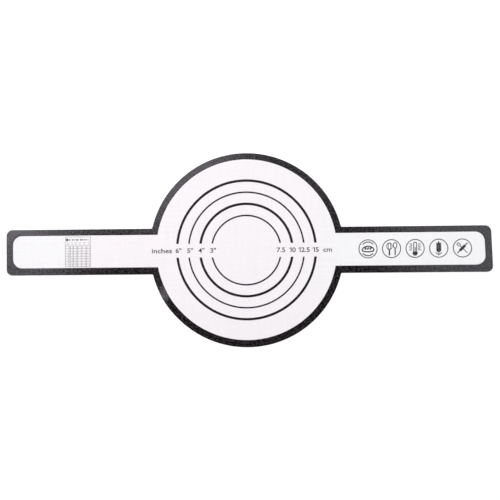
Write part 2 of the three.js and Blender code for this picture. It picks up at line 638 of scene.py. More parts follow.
@dataclass
class PrintThrough:
    """The print as it shows faintly through the sheet, as a node group that reads the flat place."""

    blank: Blank
    mark: Print
    ring_radii: tuple[float, ...]
    label_gap: float
    softness: float = 0.9 * MM
    ring_width: float = 1.6 * MM
    name: str = "print_through"

    def build(self) -> NodeTree:
        """Builds the group.

        Border is 1 where a place lies outside the inner edge, which is a disc joined to a long band with
        rounded corners. Past the middle of a corner, the distance to the band is the root of two squares.
        Rings is 1 on the ring lines, apart from the gaps at the size marks.

        Returns:
            The group.
        """
        inputs = {"Place": "NodeSocketVector"}
        group, wiring, given, target = node_group(self.name, inputs, ("Border", "Rings"))
        mark = self.mark
        centred = wiring.vector("SUBTRACT", given["Place"], (mark.shift_x, mark.shift_y, 0.0))
        radius = wiring.vector("LENGTH", centred)
        parts = wiring.split(centred)
        along, across = (wiring.math("ABSOLUTE", parts[axis]) for axis in ("X", "Y"))
        corner = mark.corner_radius
        past_disc = wiring.math("SUBTRACT", radius, mark.inner_radius)
        past_side = wiring.math("SUBTRACT", across, mark.inner_half_width - corner)
        past_tip = wiring.math("SUBTRACT", along, self.blank.tip - mark.border_width - corner)
        beyond = [
            wiring.math("POWER", wiring.math("MAXIMUM", past, 0.0), 2.0) for past in (past_side, past_tip)
        ]
        round_corner = wiring.math("SQRT", wiring.math("ADD", *beyond))
        flat_side = wiring.math("MINIMUM", wiring.math("MAXIMUM", past_side, past_tip), 0.0)
        past_band = wiring.math("SUBTRACT", wiring.math("ADD", round_corner, flat_side), corner)
        outside = wiring.math("MINIMUM", past_disc, past_band)
        lines = []
        for ring in self.ring_radii:
            off_line = wiring.math("ABSOLUTE", wiring.math("SUBTRACT", radius, ring))
            lines.append(wiring.ramp(off_line, self.ring_width, 0.0))
        gap = self.label_gap / 2
        beside = wiring.ramp(across, gap - self.softness, gap + self.softness)
        results = {
            "Border": wiring.ramp(outside, -self.softness, self.softness),
            "Rings": wiring.math("MULTIPLY", reduce(partial(wiring.math, "MAXIMUM"), lines), beside),
        }
        wiring.give(target, results)
        return group


@dataclass(frozen=True)
class Finish(ABC):
    """What all finishes share: a colour, a range of roughness, and the relief of the weave below."""

    name: str
    colour: Colour
    roughness: tuple[float, float]
    relief: float
    weave: PlainWeave
    pitch: float = 1.25 * MM
    wander: float = 0.5 * MM
    spots: float = 0.5
    refraction: float = 1.41
    gloss_tint: Colour = (1.0, 1.0, 1.0)

    def material(self) -> Material:
        """Builds the material, which follows the weave of the flat sheet.

        The surface is smoothest where the mask of the weave is highest. Its relief is the knobs of the
        weave plus the thick spots.

        Returns:
            The material.
        """
        made = bpy.data.materials.new(self.name)
        made.use_nodes = True
        made.diffuse_color = (*self.colour, 1.0)
        wiring = Wiring(made.node_tree)
        place = wiring.node("ShaderNodeUVMap", uv_map=FLAT_MAP).outputs["UV"]
        given = {"Place": place, "Pitch": self.pitch, "Wander": self.wander}
        cloth = wiring.node("ShaderNodeGroup", given, node_tree=self.weave.build()).outputs
        rough = wiring.math("SUBTRACT", 1.0, cloth["Over"])
        swell = wiring.math("MULTIPLY_ADD", cloth["Mottle"], self.spots, cloth["Height"])
        relief = {"Strength": 1.0, "Distance": self.relief, "Height": swell}
        surface = {
            "Base Color": self.paint(wiring, place, cloth),
            "Roughness": wiring.between(rough, *self.roughness),
            "IOR": self.refraction,
            "Specular Tint": (*self.gloss_tint, 1.0),
            "Normal": wiring.node("ShaderNodeBump", relief).outputs["Normal"],
        }
        wiring.give(made.node_tree.nodes["Principled BSDF"], surface)
        return made

    @abstractmethod
    def paint(self, wiring: Wiring, place: Socket, cloth: Sockets) -> Socket:
        """The colour at each place.

        Args:
            wiring: The material's wiring.
            place: The place on the flat sheet.
            cloth: What the weave puts out, by name.

        Returns:
            The colour's socket.
        """


@dataclass(frozen=True)
class SiliconeFinish(Finish):
    """White silicone over the cloth: painted weave sheen, uneven threads, and painted cool reflections at
    the tips.
    """

    # The darker colour: where the weft lies on top it is painted sheen of the weave, along the uneven
    # threads it is the cloth's own tone.
    hollow: Colour = (0.82, 0.787, 0.81)
    over_weight: float = 0.75
    over_base: float = -0.25
    # Painted reflection: the white turns cooler with the distance along X from a middle, fully at the tips,
    # where the lamps are reflected.
    tip_white: Colour = (0.942, 0.957, 0.96)
    warm_middle: float = -48.0 * MM
    warm_reach: float = 100.0 * MM
    cool_reach: float = 155.0 * MM
    through: PrintThrough | None = None
    shadow: Colour = (0.5, 0.49, 0.5)
    border_shade: float = 0.32
    ring_shade: float = 0.2

    def paint(self, wiring: Wiring, place: Socket, cloth: Sockets) -> Socket:
        """White, darker by a painted weave sheen and along some threads, cooler by a painted reflection at
        the tips, and shaded where print shows through.

        Args:
            wiring: The material's wiring.
            place: The place on the flat sheet.
            cloth: What the weave puts out, by name.

        Returns:
            The colour's socket.
        """
        # Painted reflection: a cooler white towards the tips.
        along = wiring.math("ABSOLUTE", wiring.math("SUBTRACT", wiring.split(place)["X"], self.warm_middle))
        painted_reflection_share = wiring.ramp(along, self.warm_reach, self.cool_reach)
        white = wiring.mix(painted_reflection_share, self.colour, self.tip_white)
        # Painted sheen: which yarn lies on top sets the share, and the threads' own uneven tone adds to it.
        over = wiring.math("MULTIPLY_ADD", cloth["Over"], self.over_weight, self.over_base)
        share = wiring.math("ADD", over, cloth["Thread"], clamp=True)
        white = wiring.mix(share, self.hollow, white)
        if self.through is None:
            return white
        below = wiring.node("ShaderNodeGroup", {"Place": place}, node_tree=self.through.build()).outputs
        border = wiring.math("MULTIPLY", below["Border"], self.border_shade)
        rings = wiring.math("MULTIPLY", below["Rings"], self.ring_shade)
        return wiring.mix(wiring.math("MAXIMUM", border, rings), white, self.shadow)


@dataclass(frozen=True)
class InkFinish(Finish):
    """Silicone ink, finely speckled with painted glints where the yarn on top and thick spots of the weave
    lie.
    """

    worn: Colour = (0.045, 0.04, 0.044)
    wear: float = 0.5
    knob_lift: float = 0.25
    wear_range: tuple[float, float] = (0.56, 0.76)

    def paint(self, wiring: Wiring, place: Socket, cloth: Sockets) -> Socket:
        """The ink's colour, with a paler painted glint where the yarn on top and thick spots lift the knobs.

        Args:
            wiring: The material's wiring.
            place: The place on the flat sheet.
            cloth: What the weave puts out, by name.

        Returns:
            The colour's socket.
        """
        # Painted glints: a paler colour on the weave's crossings and thick spots, standing in for their
        # highlights.
        lifted = wiring.math("MULTIPLY_ADD", cloth["Over"], self.knob_lift, cloth["Mottle"])
        glinting = wiring.ramp(lifted, *self.wear_range)
        return wiring.mix(wiring.math("MULTIPLY", glinting, self.wear), self.colour, self.worn)


@dataclass(frozen=True)
class ClothFinish(Finish):
    """Glass cloth at the cut edge: cream yarn ends, darker between them."""

    gap: Colour = (0.6, 0.57, 0.5)

    def paint(self, wiring: Wiring, place: Socket, cloth: Sockets) -> Socket:
        """Cream on the yarns and darker in the gaps."""
        return wiring.mix(cloth["Height"], self.gap, self.colour)


@dataclass
class Palette:
    """Every finish on the sling, made into materials once."""

    face: Material
    back: Material
    cloth: Material
    border: Material
    rings: Material
    marks: Material
    chart: Material

    @classmethod
    def mixed(cls, through: PrintThrough) -> "Palette":
        """Mixes the finishes.

        Args:
            through: The print that shows faintly on the back.

        Returns:
            The palette.
        """
        weave = PlainWeave()
        white = (0.957, 0.924, 0.944)
        cream = (0.82, 0.79, 0.72)
        violet_gloss, rose_gloss = (0.96, 0.93, 1.0), (1.0, 0.93, 0.97)
        border_black, ring_black = (0.004, 0.0028, 0.0031), (0.006, 0.004, 0.0045)
        # The second, paler colour of each ink is its painted glint on the weave.
        mark_black, mark_glint = (0.014, 0.011, 0.013), (0.085, 0.075, 0.082)
        chart_grey, chart_glint = (0.2, 0.18, 0.19), (0.4, 0.37, 0.39)
        silicone = partial(SiliconeFinish, colour=white, weave=weave)
        glass = partial(ClothFinish, colour=cream, weave=weave)
        ink = partial(InkFinish, weave=weave, gloss_tint=rose_gloss)
        # The glossy border gets the most painted glint on the weave, and the dull rings the least.
        glossy = {"spots": 2.2, "refraction": 1.5, "gloss_tint": violet_gloss, "wear": 0.7}
        dull = {"refraction": 1.35, "wear": 0.15}
        finishes = {
            "face": silicone("face_silicone", roughness=(0.5, 0.62), relief=0.025 * MM),
            "back": silicone("back_silicone", roughness=(0.55, 0.68), relief=0.035 * MM, through=through),
            "cloth": glass("glass_cloth", roughness=(0.7, 0.85), relief=0.05 * MM),
            "border": ink("border_ink", border_black, roughness=(0.05, 0.12), relief=0.03 * MM, **glossy),
            "rings": ink("ring_ink", ring_black, roughness=(0.34, 0.5), relief=0.02 * MM, **dull),
            "marks": ink("mark_ink", mark_black, roughness=(0.4, 0.55), relief=0.012 * MM, worn=mark_glint),
            "chart": ink("chart_ink", chart_grey, roughness=(0.5, 0.65), relief=0.012 * MM, worn=chart_glint),
        }
        return cls(**{place: finish.material() for place, finish in finishes.items()})


def make_mesh(name: str, slabs: Sequence[Slab]) -> Mesh:
    """Puts slabs into one mesh, with a map that holds each point's place on the flat sheet.

    Args:
        name: The mesh's name.
        slabs: The solids, which don't share points.

    Returns:
        The mesh, smooth apart from its sharp edges.
    """
    counts = np.cumsum([0] + [2 * slab.x.size for slab in slabs])
    points = np.concatenate([slab.points() for slab in slabs])
    faces = np.concatenate([slab.faces() + start for slab, start in zip(slabs, counts)])
    mesh = bpy.data.meshes.new(name)
    mesh.from_pydata(points, [], faces)
    return finish_mesh(mesh)


def mesh_points(mesh: Mesh) -> NDArray[np.float32]:
    """Reads the points of a mesh.

    Args:
        mesh: The mesh.

    Returns:
        A row for each point.
    """
    held = np.empty(3 * len(mesh.vertices), np.float32)
    mesh.vertices.foreach_get("co", held)
    return held.reshape(-1, 3)


def finish_mesh(mesh: Mesh) -> Mesh:
    """Gives a mesh its map of flat places, the skew of the handles, smooth faces and sharp edges.

    Args:
        mesh: A mesh on the flat sheet, which is changed.

    Returns:
        The same mesh.
    """
    points = mesh_points(mesh)
    corners = np.empty(len(mesh.loops), np.int32)
    mesh.loops.foreach_get("vertex_index", corners)
    mesh.uv_layers.new(name=FLAT_MAP).uv.foreach_set("vector", points[corners, :2].ravel())
    points[:, 0] += sum(skew.shift(points[:, 0], points[:, 1]) for skew in END_SKEWS)
    mesh.vertices.foreach_set("co", points.ravel())
    mesh.polygons.foreach_set("use_smooth", np.ones(len(mesh.polygons), bool))
    mesh.set_sharp_from_angle(angle=SHARP_ANGLE)
    mesh.update()
    return mesh


def place_piece(mesh: Mesh, material: Material) -> Piece:
    """Puts a mesh into the scene as a piece.

    Args:
        mesh: The piece's mesh, in its place.
        material: Its finish.

    Returns:
        The piece.
    """
    mesh.materials.append(material)
    piece = bpy.data.objects.new(mesh.name, mesh)
    bpy.context.scene.collection.objects.link(piece)
    return piece


def carry(piece: Piece, body: str, bend: Bend | None) -> None:
    """Lets a piece ride on a body, or turn with the bend that it reaches into.

    Args:
        piece: The piece.
        body: The body that carries a piece without a bend.
        bend: The bend, if any.
    """
    if bend is None:
        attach(piece, body)
    else:
        bend.apply(piece)


@dataclass
class Stretch:
    """One stretch of the sheet, between fold lines, with its three bonded layers."""

    name: str
    blank: Blank
    sections: Array
    bend: Bend | None
    across: int
    rim: tuple[float, ...] = (0.0, 0.03 * MM, 0.08 * MM, 0.2 * MM)
    edge_round: float = 0.1 * MM
    pieces: dict[Layer, Piece] = field(default_factory=dict)

    def grid(self) -> tuple[Array, Array]:
        """Places over the stretch: cross-sections along X, and columns that follow both edges.

        The first and last columns keep fixed distances from the cut edge. The columns between them
        divide what is left of each cross-section evenly.

        Returns:
            The x and y of each place.
        """
        half = self.blank.half_width_at(self.sections)[:, None]
        rim = np.array(self.rim)[None, :]
        inner = (half - self.rim[-1]) * np.linspace(-1.0, 1.0, self.across)[None, 1:-1]
        y = np.concatenate([rim - half, inner, (half - rim)[:, ::-1]], axis=1)
        return np.broadcast_to(self.sections[:, None], y.shape).copy(), y

    def layer(self, layer: Layer) -> Slab:
        """One layer: the blank's lie plus the layer's heights.

        The lower edge of the back coat is rounded by a quarter circle that starts at the cut edge.

        Args:
            layer: Which of the bonded layers.

        Returns:
            The layer's solid.
        """
        x, y = self.grid()
        lie = self.blank.lie(x, y)
        low, high = self.blank.layer_heights[layer]
        ease = np.zeros_like(x)
        if layer is Layer.BACK_COAT:
            short = np.clip(self.edge_round - self.blank.from_edge(x, y), 0.0, self.edge_round)
            ease = self.edge_round - np.sqrt(self.edge_round**2 - short**2)
        return Slab(x, y, lie + low + ease, lie + high)

    def build(self, palette: Palette) -> None:
        """Builds and dresses the three layers.

        Args:
            palette: The materials.
        """
        dress = {
            Layer.BACK_COAT: (palette.back, Slot.SILICONE),
            Layer.GLASS_CLOTH: (palette.cloth, Slot.GLASS_CLOTH),
            Layer.FACE_COAT: (palette.face, Slot.SILICONE),
        }
        for layer, (material, slot) in dress.items():
            node = f"{self.name}_{layer.value}"
            piece = place_piece(make_mesh(f"{node}_sheet", [self.layer(layer)]), material)
            carry(piece, self.name, self.bend)
            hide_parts(node)
            self.pieces[layer] = piece

    def declare(self, prints: Sequence[Piece]) -> None:
        """Works out half the sheet's width at each cross-section, and does nothing more with it.

        Args:
            prints: The printed pieces on the stretch. Not used.
        """
        half = self.blank.half_width_at(self.sections)


@dataclass
class Handle:
    """One handle: the strap that is lifted at its root, and the grip that folds at its end."""

    blank: Blank
    side: Side
    strap: Stretch = field(init=False)
    grip: Stretch = field(init=False)
    coarse_step: float = 3.0 * MM
    bend_step: float = 0.15 * MM
    corner_steps: int = 16
    across: int = 41

    def __post_init__(self) -> None:
        """Lays out the cross-sections, close together in the bends and at the rounded tip."""
        name = self.side.name.lower()
        blank = self.blank
        corner = blank.tip - blank.corner_radius
        turn = np.linspace(0.0, QUARTER_TURN, self.corner_steps)
        strap = self.spaced((blank.root_seam, blank.root_seam + blank.root_bend, blank.grip_seam))
        straight = self.spaced((blank.grip_seam, blank.grip_seam + blank.grip_bend, corner))
        grip = np.concatenate([straight, corner + blank.corner_radius * np.sin(turn)[1:]])
        self.strap = self.stretch("pad", f"{name}_strap", strap, blank.root_bend)
        self.grip = self.stretch(f"{name}_strap", f"{name}_grip", grip, blank.grip_bend)

    def stretch(self, inner_body: str, name: str, away: Array, bend: float) -> Stretch:
        """One stretch of the handle, which turns against its neighbour over its first few sections.

        Args:
            inner_body: The body nearer to the pad.
            name: The stretch's own body.
            away: The distances of its cross-sections from the middle of the pad.
            bend: The length over which it turns.

        Returns:
            The stretch.
        """
        sign = self.side.value
        seam = float(away[0])
        turning = Bend(inner_body, name, sign * seam, sign * (seam + bend))
        return Stretch(name, self.blank, sign * away, turning, self.across)

    def spaced(self, marks: tuple[float, float, float]) -> Array:
        """Spaces cross-sections by fine steps between the first two marks, then by coarse ones.

        Args:
            marks: Where the bend begins, where it ends, and where the coarse steps end.

        Returns:
            Their distances from the middle of the pad.
        """
        start, middle, end = marks
        fine = np.linspace(start, middle, 1 + math.ceil((middle - start) / self.bend_step))
        coarse = np.linspace(middle, end, 1 + math.ceil((end - middle) / self.coarse_step))
        return np.concatenate([fine, coarse[1:]])


@dataclass
class Laminate:
    """The whole sheet: the pad in the middle and a handle on each side."""

    blank: Blank
    pad: Stretch = field(init=False)
    handles: dict[Side, Handle] = field(init=False)
    circle_steps: int = 181
    pad_across: int = 97

    def __post_init__(self) -> None:
        """Lays out the pad's cross-sections by even steps round its circle."""
        blank = self.blank
        round_pad = np.linspace(HALF_TURN - blank.seam_angle, blank.seam_angle, self.circle_steps)
        self.pad = Stretch("pad", blank, blank.pad_radius * np.cos(round_pad), None, self.pad_across)
        self.handles = {side: Handle(blank, side) for side in Side}

    def stretches(self) -> list[Stretch]:
        """All five stretches of the sheet."""
        parts = [part for handle in self.handles.values() for part in (handle.strap, handle.grip)]
        return [self.pad, *parts]

    def build(self, palette: Palette) -> None:
        """Builds the layers of every stretch."""
        for stretch in self.stretches():
            stretch.build(palette)


@dataclass
class Printer:
    """Prints films on the sheet, and keeps what lies on each stretch."""

    laminate: Laminate
    palette: Palette
    on: dict[str, list[Piece]] = field(default_factory=dict)

    @property
    def blank(self) -> Blank:
        """The sheet's outline and lie."""
        return self.laminate.blank

    def put(
        self,
        mesh: Mesh,
        ink: Material,
        stretch: Stretch,
        bend: Bend | None = None,
        slot: Slot = Slot.RING_INK,
        node: str | None = None,
    ) -> None:
        """Puts a printed film on the sheet.

        Args:
            mesh: The film, in its place.
            ink: Its finish.
            stretch: The stretch of sheet that carries it.
            bend: The bend that it reaches into, if any.
            slot: The record's slot that the ink belongs to. Not used.
            node: The CAD node that the film stands for, if any.
        """
        piece = place_piece(mesh, ink)
        carry(piece, stretch.name, bend)
        if node is not None:
            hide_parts(node)
        self.on.setdefault(stretch.name, []).append(piece)


@dataclass
class Border:
    """The black border along the whole outline, in one band for each CAD node."""

    printer: Printer
    mark: Print
    profile: InkProfile = CUT_AND_PRINTED
    corner_lead: float = math.radians(1.4)
    circle_steps: int = 221
    corner_steps: int = 17
    tip_steps: int = 15
    straight_steps: int = 33

    def band(self, name: str, outer: Array, inner: Array, stretch: Stretch) -> None:
        """Prints one band.

        Each place lies between the outer and the inner edge by its share of the width.

        Args:
            name: The node that the band stands for.
            outer: Points of the cut edge.
            inner: As many points of the printed edge.
            stretch: The stretch of sheet that carries the band.
        """
        share = np.array(self.profile.across)
        x = outer[:, :1] + (inner - outer)[:, :1] * share
        y = outer[:, 1:] + (inner - outer)[:, 1:] * share
        blank = self.printer.blank
        mesh = make_mesh(f"{name}_print", [self.profile.film(blank, x, y, blank.ink_thickness)])
        self.printer.put(mesh, self.printer.palette.border, stretch, stretch.bend, Slot.BORDER_INK, name)

    def pad_band(self, edge: Edge) -> tuple[Array, Array]:
        """Both edges of the band along one side of the pad, from the right handle to the left.

        The outer edge runs round the pad's circle from seam to seam. The inner edge runs straight to its
        mitred corner and then round a smaller circle, in step with the outer one by shares of their
        angles.

        Args:
            edge: The rear or the front of the pad.

        Returns:
            The points of the outer and of the inner edge.
        """
        blank, mark = self.printer.blank, self.mark
        run = np.linspace(0.0, 1.0, self.corner_steps)
        bow = np.linspace(0.0, 1.0, self.circle_steps)[1:-1]
        start = blank.seam_angle
        turn_in = start + self.corner_lead
        first = start + self.corner_lead * run
        bowed = turn_in + (HALF_TURN - 2 * turn_in) * bow
        last = (HALF_TURN - start - self.corner_lead * run)[::-1]
        outer = blank.pad_radius * circle_points(np.concatenate([first, bowed, last]))

        corner = mark.corner_angle
        corner_x = mark.inner_radius * math.cos(corner)
        inner_bow = mark.inner_radius * circle_points(corner + (HALF_TURN - 2 * corner) * bow)
        shift = np.array([mark.shift_x, edge.value * mark.shift_y])
        right = blank.root_seam + (corner_x + shift[0] - blank.root_seam) * run
        left = -blank.root_seam + (-corner_x + shift[0] + blank.root_seam) * run
        level = mark.inner_half_width + shift[1]
        inner = np.concatenate([rows(right, level), inner_bow + shift, rows(left, level)[::-1]])
        flip = np.array([1.0, edge.value])
        return outer * flip, inner * flip

    def strap_band(self, strap: Stretch, edge: Edge) -> tuple[Array, Array]:
        """Both edges of the band along one side of a strap, which flares out at its root.

        Args:
            strap: The strap.
            edge: Its rear or its front side.

        Returns:
            The points of the outer and of the inner edge.
        """
        x = strap.sections
        outer = edge.value * self.printer.blank.half_width_at(x)
        inner = self.mark.shift_y + edge.value * self.mark.inner_half_width
        return rows(x, outer), rows(x, inner)

    def tongue(self, tip: float, half: float, radius: float) -> Array:
        """One edge round the end of a grip that points along +X, from its front to its rear.

        Args:
            tip: How far out the edge reaches.
            half: Half the width between its straight sides.
            radius: The radius of its corners.

        Returns:
            Points with steps that two such edges share.
        """
        seam = self.printer.blank.grip_seam
        bend_end = seam + self.printer.blank.grip_bend
        bend = np.linspace(seam, bend_end, self.straight_steps)
        run = np.linspace(bend_end, tip - radius, self.straight_steps)[1:]
        along = np.concatenate([bend, run])
        turn = np.linspace(0.0, QUARTER_TURN, self.corner_steps)[1:]
        corner = rows(tip - radius + radius * np.sin(turn), half - radius + radius * np.cos(turn))
        rear = np.concatenate([rows(along, half), corner])
        end = rows(tip, np.linspace(-(half - radius), half - radius, self.tip_steps)[1:-1])
        return np.concatenate([rear * np.array([1.0, -1.0]), end, rear[::-1]])

    def grip_band(self, side: Side) -> tuple[Array, Array]:
        """Both edges of the band round the end of a grip.

        Args:
            side: The side that its handle is on.

        Returns:
            The points of the outer and of the inner edge.
        """
        blank = self.printer.blank
        inner_tip = blank.tip - self.mark.border_width + side.value * self.mark.shift_x
        outer = self.tongue(blank.tip, blank.half_width, blank.corner_radius)
        inner = self.tongue(inner_tip, self.mark.inner_half_width, self.mark.corner_radius)
        point_out = np.array([side.value, 1.0])
        return outer * point_out, inner * point_out + np.array([0.0, self.mark.shift_y])

    def build(self) -> None:
        """Prints the bands of the pad, the straps and the grips."""
        laminate = self.printer.laminate
        for edge in Edge:
            place = edge.name.lower()
            self.band(f"pad_border_{place}", *self.pad_band(edge), laminate.pad)
            for handle in laminate.handles.values():
                name = f"{handle.strap.name}_border_{place}"
                self.band(name, *self.strap_band(handle.strap, edge), handle.strap)
        for side, handle in laminate.handles.items():
            self.band(f"{handle.grip.name}_border", *self.grip_band(side), handle.grip)


@dataclass(frozen=True)
class Ring:
    """One measuring ring, known by the start of its nodes' names and by the diameter that it marks."""

    name: str
    diameter: float

    @property
    def gap(self) -> float:
        """The width of the gap that the size mark stands in."""
        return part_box(f"{self.name}_rear")[0].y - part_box(f"{self.name}_front")[1].y

    @property
    def outer_radius(self) -> float:
        """The radius of the line's outer edge, from the corners that the rear node has at the gap."""
        low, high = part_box(f"{self.name}_rear")
        return math.hypot((high.x - low.x) / 2, self.gap / 2)

    @property
    def radius(self) -> float:
        """The radius at the middle of the line."""
        return self.diameter / 2

    @property
    def line(self) -> float:
        """The width of the line."""
        return 2 * (self.outer_radius - self.radius)


RINGS = (
    Ring("ring_7_5cm", 75.0 * MM),
    Ring("ring_10cm", 100.0 * MM),
    Ring("ring_12_5cm", 125.0 * MM),
    Ring("ring_15cm", 150.0 * MM),
)


@dataclass
class MeasuringRings:
    """The four printed rings on the pad, each in a rear and a front arc."""

    printer: Printer
    mark: Print
    profile: InkProfile = PRINTED_LINE
    steps: int = 181

    def arc(self, ring: Ring, edge: Edge) -> Slab:
        """One arc, whose ends are cut straight along the gap.

        At a radius r the arc runs from the angle whose sine is half the gap over r to its mirror image,
        so that both ends lie on lines along X.

        Args:
            ring: The ring.
            edge: Its rear or front arc.

        Returns:
            The arc's film.
        """
        radius = ring.outer_radius - ring.line * np.array(self.profile.across)[None, :]
        end = np.arcsin(ring.gap / 2 / radius)
        angle = end + (HALF_TURN - 2 * end) * np.linspace(0.0, 1.0, self.steps)[:, None]
        x = self.mark.shift_x + radius * np.cos(angle)
        y = self.mark.shift_y + edge.value * radius * np.sin(angle)
        blank = self.printer.blank
        return self.profile.film(blank, x, y, blank.ink_thickness)

    def build(self) -> None:
        """Prints every arc."""
        printer = self.printer
        for ring in RINGS:
            for edge in Edge:
                node = f"{ring.name}_{edge.name.lower()}"
                mesh = make_mesh(f"{node}_print", [self.arc(ring, edge)])
                printer.put(mesh, printer.palette.rings, printer.laminate.pad, node=node)


class Align(Enum):
    """Which part of a text stands at its place."""

    CENTER = "CENTER"
    RIGHT = "RIGHT"


@dataclass(frozen=True)
class Label:
    """A word or number, by its place on the flat sheet, the height of its digits and its width."""

    text: str
    x: float
    y: float
    height: float
    stretch: float = 1.0
    align: Align = Align.CENTER


@dataclass
class Lettering:
    """Sets words and numbers as thin films of ink, from Blender's own font."""

    blank: Blank
    thickness: float = 0.04 * MM
    weight: float = 0.014
    one_kerning: float = -10.0
    curve_steps: int = 4
    merge_distance: float = 1e-7
    digit_share: float = field(init=False)

    def __post_init__(self) -> None:
        """Measures how high the font's digits are at size 1."""
        self.digit_share = float(self.text_points("0", Align.CENTER)[:, 1].max())

    def flat_text(self, text: str, align: Align) -> Mesh:
        """Sets a text of size 1 as a mesh that is one unit thick.

        Args:
            text: The text.
            align: Whether its middle or its end stands at the origin.

        Returns:
            The mesh.
        """
        curve = bpy.data.curves.new("lettering", "FONT")
        curve.body = text
        curve.align_x = align.value
        curve.resolution_u = self.curve_steps
        curve.offset = self.weight
        curve.extrude = 0.5
        for spacing, figure in zip(curve.body_format, text):
            spacing.kerning = self.one_kerning if figure == "1" else 0.0
        holder = bpy.data.objects.new("lettering", curve)
        mesh = bpy.data.meshes.new_from_object(holder)
        bpy.data.objects.remove(holder)
        bpy.data.curves.remove(curve)
        return mesh

    def text_points(self, text: str, align: Align) -> NDArray[np.float32]:
        """Sets a text of size 1 for measuring.

        Args:
            text: The text.
            align: Whether its middle or its end stands at the origin.

        Returns:
            A row for each point of its mesh.
        """
        mesh = self.flat_text(text, align)
        points = mesh_points(mesh)
        bpy.data.meshes.remove(mesh)
        return points

    def lay(self, mesh: Mesh, label: Label) -> None:
        """Moves a text to its label's place, where it lies on the baking face.

        Each point is scaled to the label's height and moved to its middle. Its height is the face's
        height there, plus the film's thickness for the points of the upper side.

        Args:
            mesh: The text of size 1.
            label: Where it goes and how large it is.
        """
        flat = mesh_points(mesh).astype(float)
        scale = label.height / self.digit_share
        x = label.x + scale * label.stretch * flat[:, 0]
        y = label.y + scale * (flat[:, 1] - self.digit_share / 2)
        z = self.blank.lie(x, y) + self.blank.face_top + self.thickness * (flat[:, 2] + 0.5)
        mesh.vertices.foreach_set("co", np.stack([x, y, z], axis=1).astype(np.float32).ravel())

    def start(self, label: Label) -> float:
        """Where the first figure of a label begins."""
        left = float(self.text_points(label.text, label.align)[:, 0].min())
        return label.x + label.height / self.digit_share * label.stretch * left

    def mesh(self, name: str, labels: Sequence[Label]) -> Mesh:
        """Joins labels into one mesh, with doubled points merged and faces pointing outwards.

        Args:
            name: The mesh's name.
            labels: The words and numbers.

        Returns:
            The mesh, in its place.
        """
        joined = bmesh.new()
        for label in labels:
            text = self.flat_text(label.text, label.align)
            self.lay(text, label)
            joined.from_mesh(text)
            bpy.data.meshes.remove(text)
        bmesh.ops.remove_doubles(joined, verts=joined.verts, dist=self.merge_distance)
        bmesh.ops.recalc_face_normals(joined, faces=joined.faces)
        mesh = bpy.data.meshes.new(name)
        joined.to_mesh(mesh)
        joined.free()
        return finish_mesh(mesh)


@dataclass
class SizeMarks:
    """The rings' sizes, in inches on the left and in centimetres on the right."""

    printer: Printer
    mark: Print
    lettering: Lettering
    digit_height: float = 5.0 * MM
    lift: float = 0.1 * MM
    inch_mark_shift: float = 1.5 * MM
    flag: str = "\u00b4"
    flag_lead: float = 0.9 * MM
    digit_stretch: float = 1.12
    inch_word_stretch: float = 1.26
    cm_word_stretch: float = 1.14
    inch_word_x: float = -91.8 * MM
    cm_word_x: float = 87.6 * MM
    inch_sizes: tuple[int, ...] = (3, 4, 5, 6)
    cm_sizes: tuple[str, ...] = ("7.5", "10", "12.5", "15")

    def labels(self, side: Side) -> list[Label]:
        """The unit and the sizes on one side, each size in the gap of its ring.

        Args:
            side: The left for inches, or the right for centimetres.

        Returns:
            The labels.
        """
        inches = side is Side.LEFT
        y = self.mark.shift_y + self.lift
        shift = self.mark.shift_x + (self.inch_mark_shift if inches else 0.0)
        texts = [f'{size}"' for size in self.inch_sizes] if inches else list(self.cm_sizes)
        numbers = [
            Label(text, shift + side.value * ring.radius, y, self.digit_height, self.digit_stretch)
            for text, ring in zip(texts, RINGS)
        ]
        if inches:
            unit = Label("inches", self.inch_word_x, y, self.digit_height, self.inch_word_stretch)
        else:
            unit = Label("cm", self.cm_word_x, y, self.digit_height, self.cm_word_stretch)
        return [*numbers, *self.flags(numbers), unit]

    def flags(self, numbers: Sequence[Label]) -> list[Label]:
        """A flag for each leading figure one, which is a plain bar in the font: an accent at its top.

        Args:
            numbers: The labels of the sizes.

        Returns:
            The labels of the flags.
        """
        return [
            replace(number, text=self.flag, x=self.lettering.start(number) - self.flag_lead)
            for number in numbers
            if number.text.startswith("1")
        ]

    def build(self) -> None:
        """Prints the marks of both sides on the pad, as far as the bends of the handles."""
        printer, pad = self.printer, self.printer.laminate.pad
        for side, name in ((Side.LEFT, "inch_marks"), (Side.RIGHT, "cm_marks")):
            mesh = self.lettering.mesh(name, self.labels(side))
            printer.put(mesh, printer.palette.marks, pad, printer.laminate.handles[side].strap.bend)


